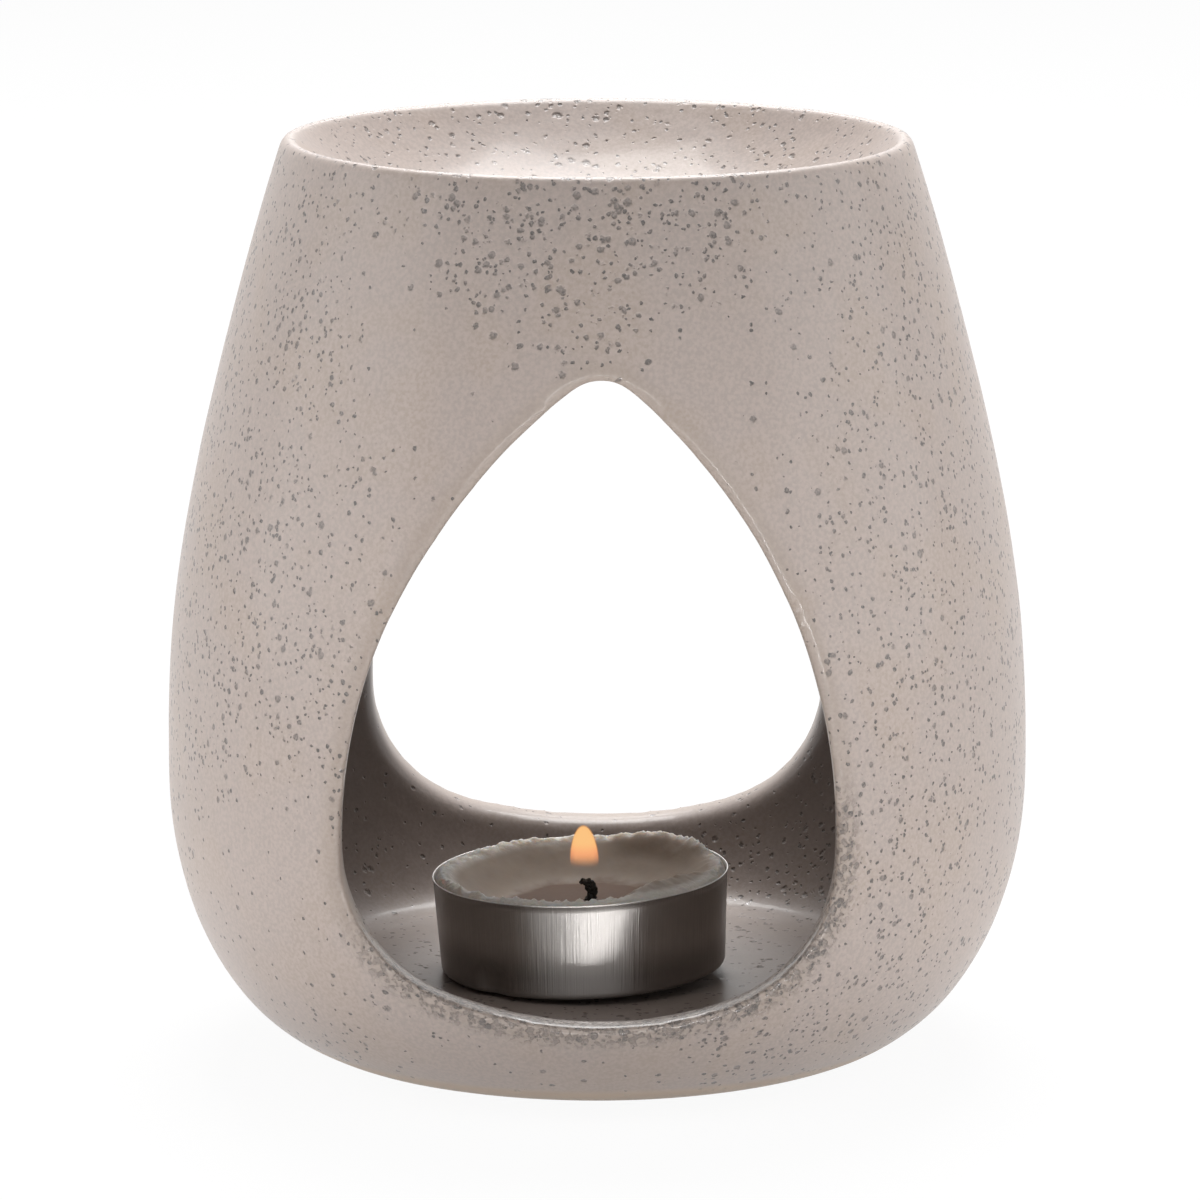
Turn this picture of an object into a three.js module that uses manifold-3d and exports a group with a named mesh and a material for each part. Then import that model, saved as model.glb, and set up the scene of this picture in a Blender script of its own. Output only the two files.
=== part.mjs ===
// Wax melt burner: a round glazed pot with an arched opening front and back, a melting dish
// on top and a burning tea light on its floor. Millimetres, +Z up. The origin is the middle
// of the foot, on the table, and the front opening faces -Y.

import * as THREE from 'three';
import { mergeVertices } from 'three/addons/utils/BufferGeometryUtils.js';
import Module from 'manifold-3d';

const wasm = await Module();
wasm.setup();

// Gap between pieces that rest on or lie in each other
const CLEARANCE = 0.3;

// Pot: outside
const BODY_HEIGHT = 118;
const BELLY_RADIUS = 55.4;
const BELLY_HEIGHT = 37;
const BELLY_REACH = 15.2; // length over which the wall leaves the belly upright
const SHOULDER_REACH = 49; // length over which the wall runs nearly straight below the lip
const SHOULDER_LEAN = THREE.MathUtils.degToRad(17.3);
const FOOT_RADIUS = 33.4;
const FOOT_RECESS_RADIUS = 25;
const FOOT_RECESS_DEPTH = 2.5;
const FOOT_RECESS_DRAFT = 1;

// Pot: inside
const WALL = 6;
const FLOOR_HEIGHT = 8.3;
const FLOOR_RADIUS = 38;

// Pot: lip and melting dish
const LIP_CREST_RADIUS = 38;
const LIP_ROUND = 2.2;
const DISH_DEPTH = 16;
const DISH_WALL = 5;
const DISH_SLOPE = THREE.MathUtils.degToRad(50);
const DISH_SIDE_REACH = 12; // length over which the bowl keeps its slope under the lip
const DISH_FLAT_REACH = 18; // radius over which the bowl stays nearly level

// Pot: arched openings
const OPENING_HALF_WIDTH = 30.5;
const OPENING_SIDE = 1.5; // straight part of each side, between corner and arch
const OPENING_CORNER = 18.7;
const APEX_ROUND = 6;
const SILL_RADIUS = 60; // of the sill's hollow, seen from the front
const BAND_ABOVE_OPENING = 24.3;
const FRONT_SILL_RISE = 5.7; // above the floor
const BACK_SILL_RISE = 8.5;

// Tea light: cup
const CUP_HEIGHT = 12.6;
const CUP_RIM_RADIUS = 19.25;
const CUP_BASE_RADIUS = 18.5;
const CUP_CORNER = 1.2;
const CUP_HEM = 0.9;
const FOIL = 0.35;
const PANEL_RADIUS = 13.5; // raised middle of the cup's base
const PANEL_RISE = 0.8;

// Tea light: place on the floor
const TEA_LIGHT_OFFSET = 1.75; // left of the middle
const TEA_LIGHT_LEAN = THREE.MathUtils.degToRad(2); // to the left

// Tea light: candle
const CRUST_DROP = 0.4; // below the cup's edge
const CRUST_WIDTH = 1.2;
const POOL_DROP = 4; // below the cup's edge
const POOL_RADIUS = 10;
const WICK_RADIUS = 0.7;
const WICK_STAND = 3.2; // above the pool
const WICK_STRAIGHT = 0.8; // above the pool, before the bend
const WICK_BEND = 1.1; // sideways reach of the charred tip
const SUSTAINER_RADIUS = 6;
const SUSTAINER_THICKNESS = 0.3;
const NECK_RADIUS = 1.6;
const NECK_HEIGHT = 4;

// Facets
const POT_SIDES = 60;
const CUP_SIDES = 40;
const SMALL_SIDES = 20;
const WICK_SIDES = 8;
const WICK_STEPS = 10;
const CURVE_STEPS = 8;
const LIP_STEPS = 5;
const CORNER_STEPS = 3;
const ARCH_STEPS = 12;

const glaze = new THREE.MeshStandardMaterial({ color: 0xbaaea8, roughness: 0.5, metalness: 0 });
const aluminium = new THREE.MeshStandardMaterial({ color: 0xd6d3cf, roughness: 0.3, metalness: 1 });
const paraffin = new THREE.MeshStandardMaterial({ color: 0xe2dccf, roughness: 0.45, metalness: 0 });
const cotton = new THREE.MeshStandardMaterial({ color: 0x1d1a17, roughness: 0.9, metalness: 0 });
const tinplate = new THREE.MeshStandardMaterial({ color: 0xb9b8b4, roughness: 0.35, metalness: 1 });

// A point of a turned outline: distance from the axis and height.
function at(radius, height) {
  return new THREE.Vector2(radius, height);
}

// The point at a distance and direction from another one.
function polar(centre, distance, angle) {
  return at(centre.x + distance * Math.cos(angle), centre.y + distance * Math.sin(angle));
}

// An outline turned about the vertical axis.
function turned(outline, sides) {
  return new THREE.LatheGeometry(outline, sides).rotateX(Math.PI / 2);
}

// An outline that runs round a hole, turned about the vertical axis.
function turnedRing(outline, sides) {
  return turned([...outline, outline[0]], sides);
}

// A closed geometry as a solid that can be joined and cut.
function solid(geometry) {
  geometry.deleteAttribute('normal');
  geometry.deleteAttribute('uv');
  const welded = mergeVertices(geometry);
  const vertProperties = welded.getAttribute('position').array;
  const triVerts = new Uint32Array(welded.getIndex().array);
  return new wasm.Manifold(new wasm.Mesh({ numProp: 3, vertProperties, triVerts }));
}

// A joined and cut solid as a geometry again.
function geometryOf(shape) {
  const { vertProperties, triVerts, numProp } = shape.getMesh();
  const geometry = new THREE.BufferGeometry();
  geometry.setAttribute('position', new THREE.BufferAttribute(vertProperties, numProp));
  geometry.setIndex(new THREE.BufferAttribute(triVerts, 1));
  geometry.computeVertexNormals();
  return geometry;
}

function piece(name, geometry, material) {
  const mesh = new THREE.Mesh(geometry, material);
  mesh.name = name;
  return mesh;
}

// Pot: curves of the outline

const lipCentre = at(LIP_CREST_RADIUS, BODY_HEIGHT - LIP_ROUND);
const lipOuter = polar(lipCentre, LIP_ROUND, SHOULDER_LEAN);
const dishEdgeAngle = Math.PI / 2 + DISH_SLOPE;
const dishEdge = polar(lipCentre, LIP_ROUND, dishEdgeAngle);
const dishMiddle = at(0, BODY_HEIGHT - DISH_DEPTH);

// The haunch rises from a level edge at the given radius and height to the belly.
function haunch(edgeRadius, edgeHeight, bellyRadius) {
  const rise = BELLY_HEIGHT - edgeHeight;
  return new THREE.EllipseCurve(edgeRadius, BELLY_HEIGHT, bellyRadius - edgeRadius, rise, -Math.PI / 2, 0);
}

// The shoulder rises from the belly to the lip, set in from the outside by the given depth.
function shoulder(inset) {
  const end = at(lipOuter.x - inset, lipOuter.y);
  return new THREE.CubicBezierCurve(
    at(BELLY_RADIUS - inset, BELLY_HEIGHT),
    at(BELLY_RADIUS - inset, BELLY_HEIGHT + BELLY_REACH),
    polar(end, SHOULDER_REACH, SHOULDER_LEAN - Math.PI / 2),
    end,
  );
}

// The bowl of the dish, from its middle out to the lip.
function dishBowl() {
  return new THREE.CubicBezierCurve(
    dishMiddle,
    at(DISH_FLAT_REACH, dishMiddle.y),
    polar(dishEdge, DISH_SIDE_REACH, DISH_SLOPE + Math.PI),
    dishEdge,
  );
}

// The bowl's underside, one dish wall below the bowl, from the axis out.
function dishUnderside() {
  const bowl = dishBowl();
  const points = [at(0, dishMiddle.y - DISH_WALL)];
  for (let step = 1; step <= CURVE_STEPS; step += 1) {
    const point = bowl.getPoint(step / CURVE_STEPS);
    const along = bowl.getTangent(step / CURVE_STEPS);
    points.push(polar(point, DISH_WALL, along.angle() - Math.PI / 2));
  }
  return points;
}

// Pot: solids

// The pot with nothing hollowed out of it but the dish and the recess in the foot.
function potBlank() {
  const lip = new THREE.EllipseCurve(
    lipCentre.x, lipCentre.y, LIP_ROUND, LIP_ROUND, SHOULDER_LEAN, dishEdgeAngle,
  );
  const outline = [
    at(0, FOOT_RECESS_DEPTH),
    at(FOOT_RECESS_RADIUS, FOOT_RECESS_DEPTH),
    at(FOOT_RECESS_RADIUS + FOOT_RECESS_DRAFT, 0),
    ...haunch(FOOT_RADIUS, 0, BELLY_RADIUS).getPoints(CURVE_STEPS),
    ...shoulder(0).getPoints(CURVE_STEPS).slice(1),
    ...lip.getPoints(LIP_STEPS).slice(1),
    ...dishBowl().getPoints(CURVE_STEPS).reverse().slice(1),
  ];
  return solid(turned(outline, POT_SIDES));
}

// The space inside the wall, from the floor up to the lip.
function chamber() {
  const outline = [
    at(0, FLOOR_HEIGHT),
    ...haunch(FLOOR_RADIUS, FLOOR_HEIGHT, BELLY_RADIUS - WALL).getPoints(CURVE_STEPS),
    ...shoulder(WALL).getPoints(CURVE_STEPS).slice(1),
    at(0, lipOuter.y),
  ];
  return solid(turned(outline, POT_SIDES));
}

// Everything above the dish's underside, which the chamber and openings stay out of.
function dishBlock() {
  const underside = dishUnderside();
  const edge = underside[underside.length - 1];
  const outline = [
    ...underside,
    at(BELLY_RADIUS, edge.y),
    at(BELLY_RADIUS, BODY_HEIGHT),
    at(0, BODY_HEIGHT),
  ];
  return solid(turned(outline, POT_SIDES));
}

// One opening's outline, seen from the front: a pointed arch of two large arcs on upright
// sides, over a hollow sill. The arcs meet the round apex, corners and sill tangentially.
function openingOutline(sillHeight) {
  const cornerX = OPENING_HALF_WIDTH - OPENING_CORNER;
  const sillCentre = sillHeight + SILL_RADIUS;
  const cornerAngle = Math.acos(cornerX / (SILL_RADIUS - OPENING_CORNER));
  const cornerHeight = sillCentre - (SILL_RADIUS - OPENING_CORNER) * Math.sin(cornerAngle);
  const springHeight = cornerHeight + OPENING_SIDE;
  const apexX = OPENING_HALF_WIDTH - APEX_ROUND;
  const apexCentre = BODY_HEIGHT - BAND_ABOVE_OPENING - APEX_ROUND;
  const archRise = apexCentre - springHeight;
  const archReach = (archRise ** 2 - apexX ** 2) / (2 * apexX);
  const archRadius = OPENING_HALF_WIDTH + archReach;
  const archAngle = Math.atan2(archRise, archReach);
  const outline = new THREE.Shape();
  outline.absarc(-archReach, springHeight, archRadius, 0, archAngle);
  outline.absarc(0, apexCentre, APEX_ROUND, archAngle, Math.PI - archAngle);
  outline.absarc(archReach, springHeight, archRadius, Math.PI - archAngle, Math.PI);
  outline.absarc(-cornerX, cornerHeight, OPENING_CORNER, Math.PI, Math.PI + cornerAngle);
  outline.absarc(0, sillCentre, SILL_RADIUS, Math.PI + cornerAngle, 2 * Math.PI - cornerAngle);
  outline.absarc(cornerX, cornerHeight, OPENING_CORNER, 2 * Math.PI - cornerAngle, 2 * Math.PI);
  return outline;
}

// A cut from the pot's axis out through the wall, towards the front or the back.
function openingCut(sillRise, turn) {
  const depth = BELLY_RADIUS + WALL;
  const outline = openingOutline(FLOOR_HEIGHT + sillRise);
  const cut = new THREE.ExtrudeGeometry(outline, { depth, bevelEnabled: false, curveSegments: ARCH_STEPS });
  return solid(cut.rotateX(Math.PI / 2).rotateZ(turn));
}

function burnerBody() {
  const hollow = chamber()
    .add(openingCut(FRONT_SILL_RISE, 0))
    .add(openingCut(BACK_SILL_RISE, Math.PI))
    .subtract(dishBlock());
  return piece('burner_body', geometryOf(potBlank().subtract(hollow)), glaze);
}

// Tea light: heights above the underside of the cup

const panelTop = PANEL_RISE + FOIL;
const seatHeight = panelTop + CLEARANCE;
const poolHeight = CUP_HEIGHT - POOL_DROP;
const crustHeight = CUP_HEIGHT - CRUST_DROP;
const boreRadius = WICK_RADIUS + CLEARANCE;

// The cup's inner radius at a height above its rounded corner.
function cupInside(height) {
  const share = (height - CUP_CORNER) / (CUP_HEIGHT - CUP_CORNER);
  return THREE.MathUtils.lerp(CUP_BASE_RADIUS - FOIL, CUP_RIM_RADIUS - 2 * FOIL, share);
}

// The cup's rounded corner, set in from the outside by the given depth, going up.
function cupCorner(inset) {
  const round = CUP_CORNER - inset;
  const corner = new THREE.EllipseCurve(
    CUP_BASE_RADIUS - CUP_CORNER, CUP_CORNER, round, round, -Math.PI / 2, 0,
  );
  return corner.getPoints(CORNER_STEPS);
}

// A pressed cup with a raised middle in its base and a hem folded over its edge.
function teaLightCup() {
  const outline = [
    at(0, PANEL_RISE),
    at(PANEL_RADIUS, PANEL_RISE),
    at(PANEL_RADIUS + PANEL_RISE, 0),
    ...cupCorner(0),
    at(CUP_RIM_RADIUS - FOIL, CUP_HEIGHT - CUP_HEM),
    at(CUP_RIM_RADIUS, CUP_HEIGHT - CUP_HEM),
    at(CUP_RIM_RADIUS, CUP_HEIGHT),
    at(CUP_RIM_RADIUS - 2 * FOIL, CUP_HEIGHT),
    ...cupCorner(FOIL).reverse(),
    at(PANEL_RADIUS + PANEL_RISE, FOIL),
    at(PANEL_RADIUS, panelTop),
    at(0, panelTop),
  ];
  return piece('tea_light_cup', turned(outline, CUP_SIDES), aluminium);
}

// Wax that fills the cup round the sustainer and wick, hollowed to a pool.
function candleWax() {
  const crustEdge = at(cupInside(crustHeight) - CLEARANCE, crustHeight);
  const crustInner = at(crustEdge.x - CRUST_WIDTH, crustHeight);
  const poolEdge = at(POOL_RADIUS, poolHeight);
  const slope = new THREE.QuadraticBezierCurve(crustInner, at(crustInner.x, poolHeight), poolEdge);
  const neckTop = seatHeight + SUSTAINER_THICKNESS + NECK_HEIGHT + CLEARANCE;
  const discTop = seatHeight + SUSTAINER_THICKNESS + CLEARANCE;
  const outline = [
    at(SUSTAINER_RADIUS + CLEARANCE, seatHeight),
    at(PANEL_RADIUS + CLEARANCE, seatHeight),
    at(PANEL_RADIUS + PANEL_RISE + CLEARANCE, FOIL + CLEARANCE),
    ...cupCorner(FOIL + CLEARANCE),
    crustEdge,
    ...slope.getPoints(CURVE_STEPS),
    at(boreRadius, poolHeight),
    at(boreRadius, neckTop),
    at(NECK_RADIUS + CLEARANCE, neckTop),
    at(NECK_RADIUS + CLEARANCE, discTop),
    at(SUSTAINER_RADIUS + CLEARANCE, discTop),
  ];
  return piece('candle_wax', turnedRing(outline, CUP_SIDES), paraffin);
}

// A flat disc with a neck that grips the wick.
function wickSustainer() {
  const discTop = seatHeight + SUSTAINER_THICKNESS;
  const outline = [
    at(boreRadius, seatHeight),
    at(SUSTAINER_RADIUS, seatHeight),
    at(SUSTAINER_RADIUS, discTop),
    at(NECK_RADIUS, discTop),
    at(NECK_RADIUS, discTop + NECK_HEIGHT),
    at(boreRadius, discTop + NECK_HEIGHT),
  ];
  return piece('wick_sustainer', turnedRing(outline, SMALL_SIDES), tinplate);
}

// A round cord that stands in the neck and curls to the left above the pool.
function wick() {
  const foot = new THREE.Vector3(0, 0, seatHeight);
  const bendStart = new THREE.Vector3(0, 0, poolHeight + WICK_STRAIGHT);
  const bendCorner = new THREE.Vector3(0, 0, poolHeight + WICK_STAND);
  const tip = new THREE.Vector3(-WICK_BEND, 0, poolHeight + WICK_STAND);
  const path = new THREE.CurvePath();
  path.add(new THREE.LineCurve3(foot, bendStart));
  path.add(new THREE.QuadraticBezierCurve3(bendStart, bendCorner, tip));
  const section = new THREE.Shape();
  section.absarc(0, 0, WICK_RADIUS, 0, 2 * Math.PI);
  const settings = { steps: WICK_STEPS, extrudePath: path, curveSegments: WICK_SIDES, bevelEnabled: false };
  return piece('wick', new THREE.ExtrudeGeometry(section, settings), cotton);
}

// Assembly

const teaLight = new THREE.Group();
teaLight.add(teaLightCup(), candleWax(), wickSustainer(), wick());
const leanLift = CUP_BASE_RADIUS * Math.sin(TEA_LIGHT_LEAN);
teaLight.position.set(-TEA_LIGHT_OFFSET, 0, FLOOR_HEIGHT + CLEARANCE + leanLift);
teaLight.rotation.y = -TEA_LIGHT_LEAN;

const burner = new THREE.Group();
burner.add(burnerBody(), teaLight);

export default burner;
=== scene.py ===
# %% [markdown]
# # A speckled ceramic wax melt burner
# A wax melt burner is a pot with a shallow dish on top. A tea light burns inside the pot and melts a piece
# of scented wax in the dish. This lesson dresses a measured model of one: the plain solids are loaded as a
# fixed frame, each piece is modelled again with the soft edges and small flaws that a real one has, and every
# finish is mixed from procedural patterns. All sizes are in metres. The front opening looks along -Y, and the
# table is at height 0.

# %% Load the measured model
import math

import bpy
import numpy as np
from mathutils import Matrix, Vector
from mathutils.geometry import interpolate_bezier
from mathutils.kdtree import KDTree


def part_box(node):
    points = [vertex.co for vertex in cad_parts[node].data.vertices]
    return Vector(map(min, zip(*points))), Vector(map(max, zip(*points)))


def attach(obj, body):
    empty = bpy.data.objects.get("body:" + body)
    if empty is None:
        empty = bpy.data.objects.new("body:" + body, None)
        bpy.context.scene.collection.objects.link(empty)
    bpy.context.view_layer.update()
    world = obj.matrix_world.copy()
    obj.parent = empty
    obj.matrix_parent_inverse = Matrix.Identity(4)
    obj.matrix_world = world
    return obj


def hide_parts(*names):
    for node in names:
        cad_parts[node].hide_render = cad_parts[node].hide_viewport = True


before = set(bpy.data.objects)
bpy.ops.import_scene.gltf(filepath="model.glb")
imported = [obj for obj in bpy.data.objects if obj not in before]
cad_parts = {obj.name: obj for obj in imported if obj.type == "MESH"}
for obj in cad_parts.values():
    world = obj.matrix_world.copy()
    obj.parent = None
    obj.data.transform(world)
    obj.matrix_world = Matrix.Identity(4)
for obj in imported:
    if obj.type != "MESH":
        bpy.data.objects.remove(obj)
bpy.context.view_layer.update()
print("frame holds", ", ".join(sorted(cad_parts)))

# %% [markdown]
# ## Tools of the bench
# Every piece here is a turned or pressed form, so most of the modelling is one habit: draw an outline point
# by point with the extrude tool, then spin it about its axis. The helpers below do just that with Blender's
# own operators. An operator acts on all that is selected, so each helper starts from an empty selection.

# %% Selecting, drawing and turning
START_SIZE = 0.001  # of the plane that each outline starts from
WELD = 0.000002  # points closer than this are one point


def only(piece):
    """Selects one object alone and makes it the active one."""
    bpy.ops.object.select_all(action="DESELECT")
    piece.select_set(True)
    bpy.context.view_layer.objects.active = piece


def modify(piece, kind, **settings):
    """Adds a modifier, sets it up and applies it."""
    only(piece)
    modifier = piece.modifiers.new(kind.lower(), kind)
    for key, value in settings.items():
        setattr(modifier, key, value)
    bpy.ops.object.modifier_apply(modifier=modifier.name)


def draw(name, points):
    """Starts a mesh as one chain of edges, and leaves it in edit mode with everything selected."""
    bpy.ops.object.select_all(action="DESELECT")
    bpy.ops.mesh.primitive_plane_add(size=START_SIZE)
    piece = bpy.context.object
    piece.name = name
    bpy.ops.object.mode_set(mode="EDIT")
    bpy.ops.mesh.merge(type="CENTER")
    bpy.ops.transform.translate(value=points[0])
    for here, there in zip(points, points[1:]):
        bpy.ops.mesh.extrude_region_move(TRANSFORM_OT_translate={"value": there - here})
    bpy.ops.mesh.select_all(action="SELECT")
    return piece


def close_up():
    """Welds the mesh that is being edited, points its faces outwards and leaves edit mode."""
    bpy.ops.mesh.select_all(action="SELECT")
    bpy.ops.mesh.remove_doubles(threshold=WELD)
    bpy.ops.mesh.normals_make_consistent(inside=False)
    bpy.ops.object.mode_set(mode="OBJECT")


def turn(name, outline, steps):
    """Turns an outline about the upright axis into a closed form."""
    piece = draw(name, outline)
    bpy.ops.mesh.spin(steps=steps, angle=math.tau, center=(0, 0, 0), axis=(0, 0, 1))
    close_up()
    return piece


def take_away(piece, cutter):
    """Takes one closed form away from another, and leaves the cutter."""
    modify(piece, "BOOLEAN", object=cutter, operation="DIFFERENCE", solver="EXACT")


# %% Points, weights and an uneven surface
def points_of(piece):
    """The places of a mesh's points, as an array."""
    places = np.empty(len(piece.data.vertices) * 3)
    piece.data.vertices.foreach_get("co", places)
    return places.reshape(-1, 3)


def weigh(piece, name, weights):
    """Stores a weight from 0 to 1 for each point, as a vertex group that a modifier can follow."""
    group = piece.vertex_groups.new(name=name)
    for index in np.flatnonzero(weights > 0):
        group.add([int(index)], float(weights[index]), "REPLACE")


def paint(piece, name, values):
    """Stores a value for each point, as an attribute that a finish can read."""
    layer = piece.data.attributes.new(name, "FLOAT", "POINT")
    layer.data.foreach_set("value", values.astype(np.float32))


def ease(values, low, high):
    """A smooth step from 0 at low to 1 at high, for an array of values."""
    share = np.clip((values - low) / (high - low), 0, 1)
    return share * share * (3 - 2 * share)


def uneven(piece, grain, depth, **settings):
    """Pushes the surface in and out by a cloudy pattern of the given grain."""
    clouds = bpy.data.textures.new("uneven", "CLOUDS")
    clouds.noise_scale = grain
    modify(piece, "DISPLACE", texture=clouds, strength=depth, texture_coords="LOCAL", **settings)


def report(piece):
    """Prints a piece's size in millimetres and its count of triangles."""
    size = [round(1000 * side, 2) for side in piece.dimensions]
    triangles = sum(len(face.vertices) - 2 for face in piece.data.polygons)
    print(f"{piece.name}: {size} mm, {triangles} triangles")


# %% Points and curves of an outline
def at(across, up):
    """A point of an outline: its distance from the axis and its height."""
    return Vector((across, 0, up))


def arc(centre, reach_across, reach_up, start, end, steps):
    """Points on part of an ellipse, from one angle to another in degrees."""
    angles = np.radians(np.linspace(start, end, steps + 1))
    return [centre + at(reach_across * math.cos(a), reach_up * math.sin(a)) for a in angles]


def toward(angle, distance):
    """A step of the given length in the given direction, in degrees from level."""
    return at(distance * math.cos(math.radians(angle)), distance * math.sin(math.radians(angle)))


def beside(points, distance):
    """The same line moved sideways, to the right of the way that it runs."""
    moved = []
    for before, here, after in zip(points[:1] + points[:-1], points, points[1:] + points[-1:]):
        along = (after - before).normalized()
        moved.append(here + distance * at(along.z, -along.x))
    return moved


# %% [markdown]
# ## Mixing finishes
# A finish is a small network of nodes. Networks are easier to read as sums, so a socket is wrapped in a class
# whose operators add the Math nodes: 1 - mask is a Math node that subtracts. Every other node comes from one
# method, add.

# %% Sockets that can be used in sums
class Wire:
    """An output socket of a finish."""

    def __init__(self, finish, socket):
        self.finish = finish
        self.socket = socket

    def math(self, operation, *values):
        node = self.finish.add("ShaderNodeMath", {"operation": operation}, dict(enumerate(values)))
        return Wire(self.finish, node.outputs[0])

    def __add__(self, other):
        return self.math("ADD", self, other)

    def __sub__(self, other):
        return self.math("SUBTRACT", self, other)

    def __rsub__(self, other):
        return self.math("SUBTRACT", other, self)

    def __mul__(self, other):
        return self.math("MULTIPLY", self, other)

    def __truediv__(self, other):
        return self.math("DIVIDE", self, other)

    def __gt__(self, other):
        return self.math("GREATER_THAN", self, other)

    def __abs__(self):
        return self.math("ABSOLUTE", self)

    __radd__ = __add__
    __rmul__ = __mul__

    def larger(self, other):
        return self.math("MAXIMUM", self, other)

    def root(self):
        return self.math("SQRT", self)


# %% A finish and its nodes
class Finish:
    """One material: its nodes, and the shader that they feed."""

    def __init__(self, name):
        self.material = bpy.data.materials.new(name)
        self.material.use_nodes = True
        self.tree = self.material.node_tree
        self.shader = self.tree.nodes["Principled BSDF"]

    def add(self, kind, settings, sockets):
        """Adds a node, sets it up, then fills its input sockets with values or links."""
        node = self.tree.nodes.new(kind)
        for key, value in settings.items():
            setattr(node, key, value)
        for key, value in sockets.items():
            self.feed(node.inputs[key], value)
        return node

    def feed(self, socket, value):
        if isinstance(value, Wire):
            self.tree.links.new(value.socket, socket)
        else:
            socket.default_value = value

    def surface(self, **values):
        """Sets or links the shader's own sockets: Base_Color stands for Base Color."""
        for key, value in values.items():
            self.feed(self.shader.inputs[key.replace("_", " ")], value)

    def place(self):
        """The place of the shaded point, in metres."""
        return Wire(self, self.add("ShaderNodeTexCoord", {}, {}).outputs["Object"])

    def mark(self, name):
        """A value painted on the piece."""
        return Wire(self, self.add("ShaderNodeAttribute", {"attribute_name": name}, {}).outputs["Fac"])

    def split(self, vector):
        """The three parts of a place or colour."""
        node = self.add("ShaderNodeSeparateXYZ", {}, {0: vector})
        return [Wire(self, socket) for socket in node.outputs]

    def noise(self, vector, size, detail=2.0):
        """A cloudy value about 0.5, with blotches of the given size."""
        sockets = {"Vector": vector, "Scale": 1 / size, "Detail": detail}
        return Wire(self, self.add("ShaderNodeTexNoise", {}, sockets).outputs[0])

    def fade(self, value, low, high):
        """A smooth step from 0 at low to 1 at high."""
        settings = {"interpolation_type": "SMOOTHSTEP"}
        node = self.add("ShaderNodeMapRange", settings, {0: value, 1: low, 2: high})
        return Wire(self, node.outputs[0])

    def mix(self, share, first, second):
        """Two colours mixed by a share from 0 to 1."""
        settings = {"data_type": "RGBA"}
        node = self.add("ShaderNodeMix", settings, {0: share, 6: first, 7: second})
        return Wire(self, node.outputs[2])

    def bump(self, height, distance):
        """A normal that is tilted by a height from 0 to 1 over the given distance."""
        node = self.add("ShaderNodeBump", {}, {"Height": height, "Distance": distance, "Strength": 1.0})
        return Wire(self, node.outputs[0])


def tone(red, green, blue):
    """A colour as a socket takes it."""
    return (red, green, blue, 1.0)


def dress(piece, finish):
    """Gives a piece one finish."""
    piece.data.materials.clear()
    piece.data.materials.append(finish.material)
    print(piece.name, "wears", finish.material.name, "of", len(finish.tree.nodes), "nodes")


print("bench is ready")

# %% [markdown]
# ## Camera
# The view looks slightly down on the burner through a long lens, which keeps its sides nearly parallel. A
# long lens far away and a short lens close by can frame the same object, but only the long one keeps the
# lip's ellipse this flat.

# %% Camera
SENSOR_WIDTH = 36  # millimetres
LENS = 196.42  # millimetres
CAMERA_PLACE = (0.000387, -0.8269, 0.2243)
CAMERA_TILT = 78.607  # degrees up from looking straight down

camera_data = bpy.data.cameras.new("camera")
camera_data.sensor_width = SENSOR_WIDTH
camera_data.lens = LENS
camera = bpy.data.objects.new("camera", camera_data)
camera.location = CAMERA_PLACE
camera.rotation_euler = (math.radians(CAMERA_TILT), 0, 0)
bpy.context.scene.collection.objects.link(camera)
bpy.context.scene.camera = camera
print("camera looks down by", round(90 - CAMERA_TILT, 2), "degrees")

# %% [markdown]
# ## The pot
# The real pot is cast from liquid clay in a plaster mould: one wall from the foot to the lip, with the dish
# closing it at the top, and the two arched openings cut out before firing. It could be sculpted, but a cast
# pot is a turned form, so the outline is drawn once and spun, the inside and the openings are cut away, and
# the whole is remeshed. The remesh gives an even skin of small faces but blurs the cuts, so the cutters are
# kept to pull the cut faces back onto their outlines. Smoothing then rounds the edges as wet clay is sponged,
# and the skin is thinned to the faces that its shape needs.

# %% Outline of the pot
pot_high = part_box("burner_body")[1]
POT_HEIGHT = pot_high.z
BELLY_RADIUS = pot_high.x
BELLY_HEIGHT = 0.037
BELLY_REACH = 0.0152  # length over which the wall leaves the belly upright
SHOULDER_REACH = 0.049  # length over which the wall runs nearly straight below the lip
SHOULDER_LEAN = 17.3  # degrees
FOOT_RADIUS = 0.0322
FOOT_RISE = 0.0008  # height of the foot ring that the belly rises from
HAUNCH_RADIUS = 0.0334  # of the belly's lower edge
FOOT_RECESS_RADIUS = 0.025
FOOT_RECESS_DEPTH = 0.0025
FOOT_RECESS_DRAFT = 0.001
LIP_CREST_RADIUS = 0.0391
LIP_ROUND = 0.0011
DISH_DEPTH = 0.016
DISH_SLOPE = 50  # degrees
DISH_SIDE_REACH = 0.012  # length over which the bowl keeps its slope under the lip
DISH_FLAT_REACH = 0.018  # radius over which the bowl stays nearly level
CURVE_STEPS = 24
LIP_STEPS = 12
POT_STEPS = 180

lip_centre = at(LIP_CREST_RADIUS, POT_HEIGHT - LIP_ROUND)
lip_outer = lip_centre + toward(SHOULDER_LEAN, LIP_ROUND)
dish_edge = lip_centre + toward(90 + DISH_SLOPE, LIP_ROUND)
dish_middle = at(0, POT_HEIGHT - DISH_DEPTH)


def haunch(edge_radius, edge_height, belly_radius):
    """The quarter ellipse from a level edge up to the belly."""
    centre = at(edge_radius, BELLY_HEIGHT)
    return arc(centre, belly_radius - edge_radius, BELLY_HEIGHT - edge_height, -90, 0, CURVE_STEPS)


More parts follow.
